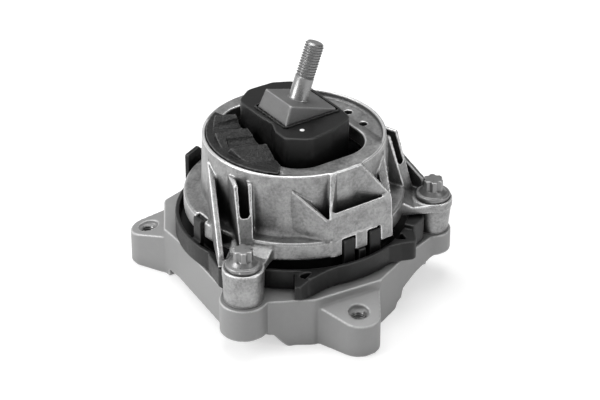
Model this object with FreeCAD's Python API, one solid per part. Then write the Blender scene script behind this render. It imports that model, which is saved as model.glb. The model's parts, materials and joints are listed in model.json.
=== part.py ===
import FreeCAD, Part
import math
import os

# Hydraulic engine mount, millimetres, Z up. X points the way the stud leans, Y runs across it.
# The origin is on the drum axis, level with the undersides of the three fixing lugs.

# Heights above the lug undersides
deck_z = 33.0
column_top_z = 56.0
flange_low_z = 50.0
flange_top_z = 62.0
rim_z = 102.0
core_seat_z = 118.0

# Clearances between pieces
seat_gap = 0.3
slide_gap = 0.5
notch_gap = 0.9

# Drum, flange and top plate of the die-cast housing
drum_radius = 57.5
drum_draft = 1.0
drum_wall = 4.5
drum_root_fillet = 4.0
flange_radius = 69.8
flange_edge = 1.2
top_plate_depth = 10.0
window_half_x = 33.0
window_front_y = -43.6
window_back_y = 46.0
window_corner = 21.0
dish_depth = 4.0
dish_radius = 55.3
dish_start_x = 35.0
dish_floor_x = 43.0
dish_hole_radius = 2.6
dish_hole_places = ((43.3, 3.9), (42.8, -13.5))

# Screw columns of the housing, by angle round the axis
column_angles = (215.8, 324.4, 84.0)
column_circles = (90.2, 87.6, 90.0)
column_radii = (13.0, 12.4, 12.4)
column_drafts = (0.8, 2.2, 2.2)
web_low_z = 50.4
web_root_z = 60.5
web_step = 0.5
web_root_radius = 67.0
web_root_spread = 14.0
screw_clearance = 0.5

# Buttresses and gussets beside the columns
buttress_top_z = 95.0
slot_width = 6.2
slot_floor_z = 75.0
gusset_top_z = 95.0
gusset_foot_z = 60.0
gusset_wall = 3.4

# Box buttress facing -Y
box_front = 66.3
box_foot_front = 68.2
box_front_left = -19.5
box_front_right = 27.5
box_lip_z = 76.0
box_lip = 1.6
box_rib = 2.8
box_corner_side = 0.6
box_corner_depth = 1.4
box_floor_z = 64.0
left_wing_top_z = 89.5
right_wing_top_z = 95.0

# Black clip ring between housing and bracket, round the clamped hydraulic stack
stack_radius = 60.5
ring_height = 13.2
ring_bore = stack_radius + slide_gap
ring_floor = 4.5
ring_wall = 2.6
ring_inner_wall = 2.5
ring_tray = 9.4
ring_radius = ring_bore + ring_inner_wall + ring_tray + ring_wall
clip_width = 8.2
clip_thickness = 2.8
clip_hook = 2.2
clip_inset = 3.5
clip_face_radius = ring_radius - clip_inset
clip_top_z = 62.0
front_clip_x = (-6.0, 13.3)
front_clip_inset = 6.3
front_clip_face = ring_radius - front_clip_inset
front_clip_top_z = 60.0
round_clip_angles = (178.8, 1.2, 50.0)
clip_hook_height = 3.0
clip_chamfer = 1.0
post_width = 5.0
ear_tip_drop = 5.0
ear_tip_run = 12.0
ear_tip_x = -38.0
ear_corner = 2.0
column_ear_top_z = 49.0

# Cast bracket
lug_angles = (137.3, 260.0, 20.0)
lug_circle = 95.0
lug_radii = (11.4, 13.5, 12.5)
lug_pad_z = 24.5
lug_slope = 12.0
lug_hole_radius = 4.25
lug_bore_radius = 6.3
lug_bore_depth = 2.5
lobe_radii = (15.0, 12.0, 12.5)
lobe_low_heights = (11.0, 18.5, 11.0)
lobe_spread = 17.0
lobe_root_radius = 68.0
bracket_wall = 6.0
bracket_rib = 5.0
bore_radius = 55.5
bore_wall = 5.0
recess_clearance = 1.0
recess_radius = stack_radius + recess_clearance
recess_depth = 3.0

# Core casting and stud
core_size_x = 38.0
core_size_y = 31.6
core_centre_x = 1.2
core_centre_y = -1.5
core_top_z = 130.0
core_lean = 18.0
core_flank = 5.0
core_block_left = -20.5
core_block_right = 17.0
core_block_front = -32.5
core_block_back = 29.5
core_block_low_z = 86.0
core_block_corner = 9.0
core_cone_top = 17.0
core_cone_low = 12.0
core_cone_low_z = 56.0
stud_lean = 20.3
stud_radius = 6.0
stud_length = 37.8
stud_thread_length = 20.6
stud_thread_depth = 0.35
stud_bury = 24.0
stud_offset = 0.6
stud_seat_depth = 5.5
stud_chamfer = 1.2

# Rubber pieces
sleeve_low_z = 84.0
sleeve_top = 4.0
spring_low_z = 56.0
spring_outer_low_z = 54.0
spring_outer_top_z = 76.0
spring_arch = 8.0
buffer_skirt = 1.0
buffer_ridge_height = 4.6
buffer_near_slope = 14.5
buffer_far_slope = 3.6
buffer_crest = 1.4
buffer_rim_band = 4.5

# Hydraulic stack below the spring
cup_sheet = 1.5
cup_radius = 52.0
cup_floor_z = 6.0
diaphragm_sheet = 2.0
diaphragm_bead = 3.0
diaphragm_dip = 16.0
diaphragm_lift = 8.0
diaphragm_crown_radius = 24.0
diaphragm_fold_radius = 32.0
lower_plate_height = 6.5
channel_width = 7.0
channel_depth = 4.0
channel_radius = 46.0
membrane_radius = 26.0
membrane_height = 3.0
spring_ring_wall = 3.0
spring_ring_flange = 3.0
spring_ring_top_z = 80.0

# Flange screws with a six-lobed outer drive
screw_star_radius = 6.45
screw_star_root = 4.9
screw_head_height = 12.4
screw_collar_radius = 8.8
screw_collar_height = 2.6
screw_flange_radius = 10.9
screw_flange_height = 2.9
screw_flange_edge = 0.6
screw_shank_radius = 5.0
screw_length = 33.0

MODEL_SPAN = 400.0


def vec(x, y, z=0.0):
    return FreeCAD.Vector(x, y, z)


def polar(radius, angle, z=0.0):
    turn = math.radians(angle)
    return vec(radius * math.cos(turn), radius * math.sin(turn), z)


def plan(point):
    return (point.x, point.y)


def rounded_wire(points, radii, z=0.0):
    """Closed outline through the points, each corner rounded with its own radius."""
    count = len(points)
    if not isinstance(radii, (list, tuple)):
        radii = [radii] * count
    starts = []
    middles = []
    ends = []
    for i in range(count):
        here = vec(points[i][0], points[i][1], z)
        to_before = (vec(points[i - 1][0], points[i - 1][1], z) - here).normalize()
        to_after = (vec(points[(i + 1) % count][0], points[(i + 1) % count][1], z) - here).normalize()
        half = math.acos(max(-1.0, min(1.0, to_before.dot(to_after)))) / 2
        reach = radii[i] / math.tan(half)
        starts.append(here + to_before * reach)
        ends.append(here + to_after * reach)
        bisector = (to_before + to_after).normalize()
        middles.append(here + bisector * (radii[i] / math.sin(half) - radii[i]))
    edges = []
    for i in range(count):
        if radii[i] > 0:
            edges.append(Part.Arc(starts[i], middles[i], ends[i]).toShape())
        following = starts[(i + 1) % count]
        if (following - ends[i]).Length > 1e-6:
            edges.append(Part.LineSegment(ends[i], following).toShape())
    return Part.Wire(edges)


def prism(points, low, high, radii=0.0):
    """Upright prism over a plan outline."""
    face = Part.Face(rounded_wire(points, radii, low))
    return face.extrude(vec(0, 0, high - low))


def loft(low_points, low_z, high_points, high_z, radii=0.0):
    """Ruled solid between two outlines with the same number of corners."""
    wires = [rounded_wire(low_points, radii, low_z), rounded_wire(high_points, radii, high_z)]
    return Part.makeLoft(wires, True, True)


def cylinder(radius, low, high, centre=(0.0, 0.0)):
    return Part.makeCylinder(radius, high - low, vec(centre[0], centre[1], low))


def cone(radius_low, radius_high, low, high, centre=(0.0, 0.0)):
    return Part.makeCone(radius_low, radius_high, high - low, vec(centre[0], centre[1], low))


def tube(outer, inner, low, high):
    return cylinder(outer, low, high).cut(cylinder(inner, low - 1, high + 1))


def revolved(profile):
    """Solid of revolution about Z from (radius, height) points."""
    points = [vec(r, 0, z) for r, z in profile]
    face = Part.Face(Part.makePolygon(points + [points[0]]))
    return face.revolve(vec(0, 0, 0), vec(0, 0, 1), 360)


def rectangle(x0, x1, y0, y1):
    return [(x0, y0), (x1, y0), (x1, y1), (x0, y1)]


def mirrored(points):
    """The same outline on the other side of the Y axis, still turning the same way."""
    return [(-x, y) for x, y in reversed(points)]


def fused(shapes):
    result = shapes[0].multiFuse(shapes[1:])
    return result.removeSplitter()


def tongue(centre, radius, first, second, low, high):
    """Prism over a disc and the two tangents that run to it from a pair of root points."""
    corners = []
    for root, side in ((first, 1), (second, -1)):
        dx = centre[0] - root[0]
        dy = centre[1] - root[1]
        distance = math.hypot(dx, dy)
        heading = math.atan2(dy, dx) + side * math.asin(radius / distance)
        reach = math.sqrt(distance ** 2 - radius ** 2)
        corners.append((root[0] + reach * math.cos(heading), root[1] + reach * math.sin(heading)))
    web = prism([first, corners[0], corners[1], second], low, high)
    return web.fuse(cylinder(radius, low, high, centre)).removeSplitter()


def upright_wall(start, end, thickness, side_view):
    """Wall along a plan line; side_view gives its (distance along, height) corners."""
    length = math.hypot(end[0] - start[0], end[1] - start[1])
    along = vec((end[0] - start[0]) / length, (end[1] - start[1]) / length)
    across = vec(-along.y, along.x) * (thickness / 2)
    base = vec(start[0], start[1]) - across
    points = [base + along * s + vec(0, 0, z) for s, z in side_view]
    face = Part.Face(Part.makePolygon(points + [points[0]]))
    return face.extrude(across * 2)


def block_beyond(point, normal):
    """Large block on the side of a plane that its normal points to."""
    block = Part.makeBox(MODEL_SPAN, MODEL_SPAN, MODEL_SPAN, vec(-MODEL_SPAN / 2, -MODEL_SPAN / 2, 0))
    block.Placement = FreeCAD.Placement(point, FreeCAD.Rotation(vec(0, 0, 1), normal))
    return block


column_plan = [plan(polar(circle, angle)) for circle, angle in zip(column_circles, column_angles)]
lug_plan = [plan(polar(lug_circle, angle)) for angle in lug_angles]

# Plan outline of the bracket deck without lobes and lugs, from the left lug round by the front
DECK_OUTLINE = [(-71.0, 43.0), (-71.1, 26.5), (-78.3, -36.0), (-72.0, -60.0), (-55.6, -69.3), (-46.6, -73.5),
                (-39.0, -78.6), (7.7, -83.2), (27.7, -74.0), (46.3, -66.4), (66.0, -60.0), (77.0, -36.0),
                (76.0, 2.0), (67.0, 48.0), (38.0, 74.0), (9.0, 82.0), (-34.0, 78.6), (-52.0, 73.5)]
DECK_CORNERS = [3, 14, 10, 4, 10, 10, 8, 3, 8, 8, 6, 20, 14, 10, 14, 20, 14, 5]
LUG_ROOTS = [((-52.6, 73.6), (-71.2, 42.4)), ((-36.0, -78.5), (7.3, -82.5)), ((75.5, 8.0), (66.0, 50.0))]

# Lower edge of the front wall where it climbs towards the right lobe, as (x, z)
FRONT_EDGE = [(26.0, 0.0), (28.0, 3.5), (32.5, 5.0), (34.0, 10.5), (50.0, 15.0), (66.0, 17.5), (105.0, 18.5)]
CORNER_EDGE = [(-53.0, 0.0), (-55.0, 2.0), (-60.0, 8.5), (-66.0, 9.5), (-105.0, 9.5)]
FRONT_EDGE_REACH = (-100.0, -44.0)
LEFT_EDGE_Z = 5.0
LEFT_EDGE_REACH = (-44.0, 38.0)

# Buttress plan corners at its top and foot, for the column on the left; the right one mirrors it
BUTTRESS_TOP = [(-53.5, -2.0), (-61.5, -25.5), (-51.4, -29.8), (-43.0, -20.0)]
BUTTRESS_FOOT = [(-53.5, -2.0), (-66.3, -39.7), (-58.9, -42.5), (-43.0, -20.0)]
BUTTRESS_SLOT = ((-51.8, -16.6), (-58.7, -33.2))
REAR_BUTTRESS_TOP = [(16.0, 48.0), (18.5, 64.0), (0.5, 65.5), (-1.5, 50.0)]
REAR_BUTTRESS_FOOT = [(16.0, 48.0), (18.0, 74.0), (1.5, 75.5), (-1.5, 50.0)]
REAR_BUTTRESS_SLOT = ((8.0, 50.0), (9.0, 69.0))
GUSSETS = [((-56.0, 10.0), (-80.5, -39.5)), ((56.6, -2.5), (74.0, -42.0))]

# Box on the front: where its left rib and its slanting right rib meet the drum
BOX_LEFT_ROOT = (-7.0, -50.8)
BOX_POCKET_LEFT_ROOT = (-3.6, -53.6)
BOX_POCKET_CORNER_X = 21.6
BOX_POCKET_RIGHT_ROOT = (2.8, -55.4)
BOX_RIGHT_ROOT = (5.2, -54.0)

# Plan of the walls that close the box on its left and right, and the line along which each one's top climbs
LEFT_WING = [(-18.6, -64.0), (-20.4, -65.0), (-34.0, -47.6), (-31.0, -42.0), (-24.0, -47.0)]
LEFT_WING_CLIMB = ((-20.0, -64.6), (-28.5, -49.5))
RIGHT_WING = [(26.6, -64.2), (28.6, -63.4), (36.0, -46.0), (33.0, -42.0), (28.6, -45.0)]
RIGHT_WING_CLIMB = ((28.4, -62.6), (32.0, -47.5))

# Ears and triangular windows of the clip ring
LEFT_EAR = [(-50.0, -50.0), (-56.5, -68.5), (-52.6, -73.5), (-46.5, -74.8), (-38.5, -74.6), (-28.0, -70.0)]
RIGHT_EAR = [(28.0, -62.0), (20.0, -72.0), (30.5, -73.8), (39.4, -77.2), (45.5, -67.0), (47.0, -55.0)]
RIGHT_EAR_CORNERS = [1.0, 1.0, 6.0, 4.0, 4.0, 1.0]
COLUMN_EAR = [(42.0, -58.0), (46.0, -65.0), (57.4, -60.6), (66.0, -46.0), (54.0, -40.0)]
SIDE_EAR = [(-66.0, -20.0), (-74.6, -14.0), (-79.0, -34.0), (-77.0, -42.0), (-66.0, -44.0)]
RING_WINDOWS = [[(-42.0, -65.5), (-41.0, -71.6), (-32.5, -69.5)], [(29.5, -67.0), (36.0, -71.0), (38.0, -62.5)]]
TAB_ANGLE = 115.0
TAB_WIDTH = 20.0
TAB_TOP_Z = 68.0
TAB_CORNER = 0.8
TAB_SHOULDER = 6.7

# Plan of the stop buffer, open towards the rim, and the crest lines of its ridges from the rim inwards
BUFFER_OUTLINE = [(-28.1, 48.6), (-25.6, 37.2), (-23.8, 30.4), (-27.3, 10.9), (-28.7, -11.6), (-31.7, -32.4),
                  (-38.2, -39.1), (-60.0, -62.0), (-90.0, 0.0), (-45.0, 78.0)]
BUFFER_CRESTS = [((-47.6, 43.0), (-20.0, 28.2)), ((-53.5, 18.6), (-20.0, 8.7)), ((-55.5, -2.6), (-20.0, -14.6))]

SLEEVE_OUTLINE = [(-26.0, -29.0), (-14.5, -38.5), (4.0, -36.0), (22.5, -28.0), (24.3, -14.0), (24.3, 16.0),
                  (19.6, 30.5), (8.0, 36.5), (-10.0, 36.8), (-22.8, 28.0), (-23.0, 4.0), (-21.8, -8.0), (-26.0, -18.0)]
SLEEVE_CORNERS = [6.0, 8.0, 10.0, 2.5, 3.0, 8.0, 6.0, 6.0, 7.0, 9.0, 8.0, 4.0, 4.0]


def lug_block(centre, radius, roots, angle):
    """Fixing lug, its upper pad falling away outwards."""
    block = tongue(centre, radius, roots[1], roots[0], 0.0, deck_z)
    tilt = math.radians(lug_slope)
    outward = polar(1.0, angle)
    normal = vec(outward.x * math.sin(tilt), outward.y * math.sin(tilt), math.cos(tilt))
    return block.cut(block_beyond(vec(centre[0], centre[1], lug_pad_z), normal))


def bracket_pockets():
    """Hollows in the underside, between the bore wall, the outer wall and the ribs."""
    outline = Part.Face(rounded_wire(DECK_OUTLINE, DECK_CORNERS, -1.0))
    inner = outline.makeOffset2D(-bracket_wall)
    hollow = inner.extrude(vec(0, 0, deck_z - bracket_wall + 1.0))
    hollow = hollow.cut(cylinder(bore_radius + bore_wall, -2, deck_z))
    for angle in column_angles + lug_angles:
        rib_end = plan(polar(MODEL_SPAN / 4, angle))
        side = [(0, -2), (MODEL_SPAN / 4, -2), (MODEL_SPAN / 4, deck_z), (0, deck_z)]
        hollow = hollow.cut(upright_wall((0.0, 0.0), rib_end, bracket_rib, side))
    for centre in column_plan + lug_plan:
        hollow = hollow.cut(cylinder(screw_shank_radius + bracket_wall, -2, deck_z, centre))
    return hollow


def raised_edges():
    """What is taken from below, so that the lower edge climbs at the right and clears the floor at the left."""
    near, far = FRONT_EDGE_REACH
    cuts = []
    for edge in (FRONT_EDGE, CORNER_EDGE):
        corners = edge + [(edge[-1][0], -1.0), (edge[0][0], -1.0)]
        points = [vec(x, near, z) for x, z in corners]
        cuts.append(Part.Face(Part.makePolygon(points + [points[0]])).extrude(vec(0, far - near, 0)))
    reach = LEFT_EDGE_REACH[1] - LEFT_EDGE_REACH[0]
    left = Part.makeBox(column_circles[0] - stack_radius, reach, LEFT_EDGE_Z + 1.0,
                        vec(-column_circles[0], LEFT_EDGE_REACH[0], -1.0))
    return cuts + [left]


def base_bracket():
    """Cast bracket: deck with three column lobes, three fixing lugs and a hollow, ribbed underside."""
    parts = [prism(DECK_OUTLINE, 0.0, deck_z, DECK_CORNERS)]
    for centre, radius, roots, angle in zip(lug_plan, lug_radii, LUG_ROOTS, lug_angles):
        parts.append(lug_block(centre, radius, roots, angle))
    for centre, radius, angle, low in zip(column_plan, lobe_radii, column_angles, lobe_low_heights):
        left = plan(polar(lobe_root_radius, angle + lobe_spread))
        right = plan(polar(lobe_root_radius, angle - lobe_spread))
        parts.append(tongue(centre, radius, left, right, low, deck_z))
    bracket = fused(parts)
    bracket = bracket.cut(bracket_pockets())
    for edge in raised_edges():
        bracket = bracket.cut(edge)
    bracket = bracket.cut(cylinder(bore_radius, -1, deck_z + 1))
    bracket = bracket.cut(cylinder(recess_radius, deck_z - recess_depth, deck_z + 1))
    for centre in lug_plan:
        bracket = bracket.cut(cylinder(lug_hole_radius, -1, deck_z, centre))
        bracket = bracket.cut(cylinder(lug_bore_radius, lug_pad_z - lug_bore_depth, deck_z + 10, centre))
    for centre in column_plan:
        bracket = bracket.cut(cylinder(screw_shank_radius, -1, deck_z + 1, centre))
    return bracket.removeSplitter()


def drum_and_flange():
    """Turned form of the housing: drafted drum, filleted foot, flange and top plate."""
    low_radius = drum_radius + drum_draft
    fillet_points = []
    for step in range(5):
        turn = math.radians(90.0 * step / 4)
        fillet_points.append((low_radius + drum_root_fillet * (1 - math.cos(turn)),
                              flange_top_z + drum_root_fillet * (1 - math.sin(turn))))
    profile = [(0, rim_z - top_plate_depth), (drum_radius - drum_wall, rim_z - top_plate_depth),
               (drum_radius - drum_wall, flange_low_z), (flange_radius - flange_edge, flange_low_z),
               (flange_radius, flange_low_z + flange_edge), (flange_radius, flange_top_z - flange_edge),
               (flange_radius - flange_edge, flange_top_z)]
    profile += list(reversed(fillet_points))
    profile += [(drum_radius, rim_z), (0, rim_z)]
    return revolved(profile)


def crescent_recess(side):
    """Dished recess in the top plate beside the window, its inner edge sloping up to it."""
    floor_z = rim_z - dish_depth
    section = [vec(dish_start_x, -MODEL_SPAN / 4, rim_z + 0.01), vec(dish_floor_x, -MODEL_SPAN / 4, floor_z),
               vec(drum_radius, -MODEL_SPAN / 4, floor_z), vec(drum_radius, -MODEL_SPAN / 4, rim_z + 1),
               vec(dish_start_x, -MODEL_SPAN / 4, rim_z + 1)]
    wedge = Part.Face(Part.makePolygon(section + [section[0]])).extrude(vec(0, MODEL_SPAN / 2, 0))
    recess = wedge.common(cylinder(dish_radius, floor_z - 1, rim_z + 1))
    if side < 0:
        recess.rotate(vec(0, 0, 0), vec(0, 0, 1), 180)
    return recess


def buttress(top, foot, slot):
    """Hollow pylon between drum and column: two ribs and a front wall with a U-shaped slot."""
    slot_start, slot_end = slot
    body = loft(foot, flange_low_z + 1, top, buttress_top_z)
    length = math.hypot(slot_end[0] - slot_start[0], slot_end[1] - slot_start[1])
    reach = length + 30.0
    radius = slot_width / 2
    opening = upright_wall(slot_start, slot_end, slot_width,
                           [(0, slot_floor_z + radius), (reach, slot_floor_z + radius),
                            (reach, rim_z + 5), (0, rim_z + 5)])
    along = vec((slot_end[0] - slot_start[0]) / length, (slot_end[1] - slot_start[1]) / length)
    round_floor = Part.makeCylinder(radius, reach, vec(slot_start[0], slot_start[1], slot_floor_z + radius), along)
    pocket = upright_wall(slot_start, slot_end, slot_width,
                          [(0, flange_top_z + 2), (length, flange_top_z + 2),
                           (length, slot_floor_z + radius + 1), (0, slot_floor_z + radius + 1)])
    return clear_of_screws(body.cut(opening).cut(round_floor).cut(pocket))


def clear_of_screws(shape):
    """The shape cut back from the room that the screws' flanges take above the columns."""
    for centre in column_plan:
        shape = shape.cut(cylinder(screw_flange_radius + slide_gap, column_top_z, rim_z, centre))
    return shape


def gusset(start, end):
    """Sloping wall from the drum to a column, cut clear of the screws' flanges."""
    length = math.hypot(end[0] - start[0], end[1] - start[1])
    wall = upright_wall(start, end, gusset_wall,
                        [(0, flange_low_z + 1), (length, flange_low_z + 1), (length, gusset_foot_z), (0, gusset_top_z)])
    return clear_of_screws(wall)


def wing(outline, climb, top_z):
    """Wall beside the box whose top climbs from the box's lip to the drum."""
    start, end = climb
    rise = top_z - box_lip_z
    length = math.hypot(end[0] - start[0], end[1] - start[1])
    normal = vec((start[0] - end[0]) * rise / length, (start[1] - end[1]) * rise / length, length).normalize()
    wall = prism(outline, flange_low_z + 1, rim_z)
    return wall.cut(block_beyond(vec(start[0], start[1], box_lip_z), normal))


def box_buttress():
    """Open-topped box on the drum's -Y side with sloping ribs and a wing wall on each side."""
    def outline(front):
        return [BOX_LEFT_ROOT, (box_front_left, -front), (box_front_right, -front),
                (box_front_right + box_corner_side, -front + box_corner_depth), BOX_RIGHT_ROOT]

    rim_front = box_front - (box_foot_front - box_front)
    top_z = 2 * box_lip_z - flange_low_z
    box = loft(outline(box_foot_front), flange_low_z, outline(rim_front), top_z)
    hollow = [BOX_POCKET_LEFT_ROOT, (box_front_left + box_rib, -box_front + box_lip),
              (BOX_POCKET_CORNER_X, -box_front + box_lip), BOX_POCKET_RIGHT_ROOT]
    box = box.cut(prism(hollow, box_floor_z, rim_z + 5))
    drop = rim_z - 1.0 - box_lip_z
    run = box_front - drum_radius
    box = box.cut(block_beyond(vec(0, -box_front, box_lip_z), vec(0, -drop, run).normalize()))
    left_wing = wing(LEFT_WING, LEFT_WING_CLIMB, left_wing_top_z)
    right_wing = wing(RIGHT_WING, RIGHT_WING_CLIMB, right_wing_top_z)
    return box.multiFuse([left_wing, right_wing]).removeSplitter()


def clip_places():
    """Angle, distance and top height of each clip; the front pair shares a flat face."""
    places = []
    for x in front_clip_x:
        places.append(((x, -front_clip_face), (0.0, -1.0), front_clip_top_z))
    for angle in round_clip_angles:
        face = polar(clip_face_radius, angle)
        outward = polar(1.0, angle)
        places.append((plan(face), plan(outward), clip_top_z))
    return places


def clip_notch(face, outward, top_z, margin):
    """Block round a clip, used to notch the housing where the clip passes."""
    inner = (face[0] - outward[0] * (clip_thickness + clip_hook + margin),
             face[1] - outward[1] * (clip_thickness + clip_hook + margin))
    outer = (face[0] + outward[0] * 8.0, face[1] + outward[1] * 8.0)
    length = math.hypot(outer[0] - inner[0], outer[1] - inner[1])
    top = top_z + margin
    return upright_wall(inner, outer, clip_width + 2 * margin,
                        [(0, ring_low_z()), (length, ring_low_z()), (length, top), (0, top)])


def ring_low_z():
    return deck_z + seat_gap


def screw_column(centre, circle, radius, draft, angle):
    """Column with the web that ties it to the flange, the web falling from the flange to the column's top."""
    left = plan(polar(web_root_radius, angle + web_root_spread))
    right = plan(polar(web_root_radius, angle - web_root_spread))
    web = tongue(centre, radius, left, right, web_low_z, web_root_z)
    edge = circle - radius
    low_end = column_top_z - web_step
    reach = MODEL_SPAN / 2
    above = upright_wall((0.0, 0.0), plan(polar(reach, angle)), reach,
                         [(web_root_radius, web_root_z), (edge, low_end), (reach, low_end), (reach, rim_z),
                          (web_root_radius, rim_z)])
    web = web.cut(above)
    return web.fuse(cone(radius - draft, radius, deck_z, column_top_z, centre))


def upper_housing():
    """Die-cast housing: drum with window and dishes, flange, three columns, ribs and the box."""
    foot_face = Part.makeBox(box_front_right - box_front_left, 10.0, flange_top_z - flange_low_z + 2,
                             vec(box_front_left, -box_foot_front - 10.0, flange_low_z - 1))
    solids = [drum_and_flange().cut(foot_face)]
    for place in zip(column_plan, column_circles, column_radii, column_drafts, column_angles):
        solids.append(screw_column(*place))
    left_buttress = buttress(BUTTRESS_TOP, BUTTRESS_FOOT, BUTTRESS_SLOT)
    solids.append(left_buttress)
    solids.append(left_buttress.mirror(vec(0, 0, 0), vec(1, 0, 0)))
    solids.append(buttress(REAR_BUTTRESS_TOP, REAR_BUTTRESS_FOOT, REAR_BUTTRESS_SLOT))
    for start, end in GUSSETS:
        solids.append(gusset(start, end))
    solids.append(box_buttress())
    housing = fused(solids)
    bore = cylinder(drum_radius - drum_wall, flange_low_z - 1, rim_z - top_plate_depth)
    housing = housing.cut(bore)
    window = prism(rectangle(-window_half_x, window_half_x, window_front_y, window_back_y),
                   rim_z - top_plate_depth - 1, rim_z + 1, window_corner)
    housing = housing.cut(window).cut(crescent_recess(1)).cut(crescent_recess(-1))
    for place in dish_hole_places:
        housing = housing.cut(cylinder(dish_hole_radius, rim_z - top_plate_depth - 1, rim_z + 1, place))
    for face, outward, top_z in clip_places():
        housing = housing.cut(clip_notch(face, outward, top_z, notch_gap))
    for centre in column_plan:
        housing = housing.cut(cylinder(screw_shank_radius + screw_clearance, deck_z - 1, column_top_z + 1, centre))
    return housing.removeSplitter()


def clip(face, outward, top_z):
    """Clip leg with an inward hook at its top."""
    inner = (face[0] - outward[0] * clip_thickness, face[1] - outward[1] * clip_thickness)
    low = ring_low_z() + ring_floor / 2
    hook_low = top_z - clip_hook_height
    side = [(0, low), (clip_thickness, low), (clip_thickness, top_z - clip_chamfer),
            (clip_thickness - clip_chamfer, top_z), (-clip_hook, hook_low + clip_chamfer), (-clip_hook, hook_low),
            (0, hook_low)]
    return upright_wall(inner, face, clip_width, side)


def ring_tab():
    """Tall tab at the ring's back left, one top corner cut off."""
    outward = polar(1.0, TAB_ANGLE)
    across = vec(-outward.y, outward.x)
    foot = polar(ring_radius - clip_thickness, TAB_ANGLE, ring_low_z() + ring_floor / 2)
    half = TAB_WIDTH / 2
    height = TAB_TOP_Z - foot.z
    corners = [(-half, 0), (half, 0), (half, height - TAB_CORNER), (half - TAB_CORNER, height),
               (TAB_SHOULDER - half, height), (-half, height - TAB_SHOULDER)]
    points = [foot + across * s + vec(0, 0, z) for s, z in corners]
    return Part.Face(Part.makePolygon(points + [points[0]])).extrude(outward * clip_thickness)


def clip_ring():
    """Moulded ring: tray with ears, raised bore wall, clips, a tall tab and a middle post."""
    low = ring_low_z()
    top = low + ring_height
    tip_cut = block_beyond(vec(ear_tip_x, 0, top), vec(-ear_tip_drop, 0, ear_tip_run).normalize())
    bodies = [cylinder(ring_radius, low, top), prism(LEFT_EAR, low, top, ear_corner).cut(tip_cut),
              prism(RIGHT_EAR, low, top, RIGHT_EAR_CORNERS), prism(COLUMN_EAR, low, column_ear_top_z, ear_corner)]
    for ear in (SIDE_EAR, mirrored(SIDE_EAR)):
        bodies.append(prism(ear, low, top, ear_corner))
    ring = fused(bodies)
    tray = tube(ring_radius - ring_wall, ring_bore + ring_inner_wall, low + ring_floor, top + 5)
    ring = ring.cut(tray)
    ring = ring.fuse(tube(ring_bore + ring_inner_wall, ring_bore, low, flange_low_z - seat_gap))
    ring = ring.cut(cylinder(ring_bore, low - 1, flange_low_z + 1))
    for window in RING_WINDOWS:
        ring = ring.cut(prism(window, low - 1, top + 1, 1.2))
    for face, outward, top_z in clip_places():
        ring = ring.fuse(clip(face, outward, top_z))
    ring = ring.fuse(ring_tab())
    post_x = sum(front_clip_x) / 2
    post = rectangle(post_x - post_width / 2, post_x + post_width / 2,
                     -front_clip_face, -front_clip_face + clip_thickness)
    ring = ring.fuse(prism(post, low + ring_floor / 2, flange_low_z - seat_gap))
    for centre, radius in zip(column_plan, column_radii):
        ring = ring.cut(cylinder(radius + slide_gap, low - 1, flange_top_z, centre))
    return ring.removeSplitter()


def stud_axis():
    lean = math.radians(stud_lean)
    return vec(math.sin(lean), 0, math.cos(lean))


def stud_foot():
    return vec(core_centre_x + stud_offset, core_centre_y, core_top_z - stud_seat_depth)


def stud():
    """Threaded stud with a plain shank, a small foot collar and a buried root."""
    axis = stud_axis()
    foot = stud_foot()
    shank = Part.makeCylinder(stud_radius, stud_bury + stud_length - stud_thread_length, foot - axis * stud_bury, axis)
    thread_foot = foot + axis * (stud_length - stud_thread_length)
    thread = Part.makeCylinder(stud_radius - stud_thread_depth, stud_thread_length - stud_chamfer, thread_foot, axis)
    tip = Part.makeCone(stud_radius - stud_thread_depth, stud_radius - stud_chamfer, stud_chamfer,
                        thread_foot + axis * (stud_thread_length - stud_chamfer), axis)
    return fused([shank, thread, tip])


def core():
    """Aluminium core: drafted wedge on top, stop block below it and a bonding cone."""
    left = core_centre_x - core_size_x / 2
    right = core_centre_x + core_size_x / 2
    front = core_centre_y - core_size_y / 2
    back = core_centre_y + core_size_y / 2
    tall = core_top_z + 4.0 - core_seat_z
    flank = core_flank * tall / (core_top_z - core_seat_z)
    base = rectangle(left, right, front, back)
    crown = rectangle(left + flank, right - flank / 3, front + flank / 3, back - flank / 3)
    wedge = loft(base, core_seat_z, crown, core_seat_z + tall, 1.0)
    lean = math.radians(core_lean)
    wedge = wedge.cut(block_beyond(vec(left + core_flank, 0, core_top_z), vec(math.sin(lean), 0, math.cos(lean))))
    neck = prism(rectangle(left + 1, right - 1, front + 1, back - 1), core_seat_z - sleeve_top - 1, core_seat_z, 2.0)
    block = prism(rectangle(core_block_left, core_block_right, core_block_front, core_block_back),
                  core_block_low_z, core_seat_z - sleeve_top, core_block_corner)
    root = cone(core_cone_low, core_cone_top, core_cone_low_z, core_block_low_z)
    casting = fused([wedge, neck, block, root])
    shank = Part.makeCylinder(stud_radius, stud_bury + stud_length, stud_foot() - stud_axis() * stud_bury, stud_axis())
    return casting.cut(shank)


def stop_sleeve():
    """Rubber stop block moulded over the core's block, open below."""
    sleeve = prism(SLEEVE_OUTLINE, sleeve_low_z, core_seat_z, SLEEVE_CORNERS)
    block = prism(rectangle(core_block_left, core_block_right, core_block_front, core_block_back),
                  sleeve_low_z - 1, core_seat_z - sleeve_top, core_block_corner)
    left = core_centre_x - core_size_x / 2
    right = core_centre_x + core_size_x / 2
    front = core_centre_y - core_size_y / 2
    back = core_centre_y + core_size_y / 2
    opening = prism(rectangle(left + 1, right - 1, front + 1, back - 1),
                    core_seat_z - sleeve_top - 1, core_seat_z + 1, 2.0)
    return sleeve.cut(block).cut(opening)


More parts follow.
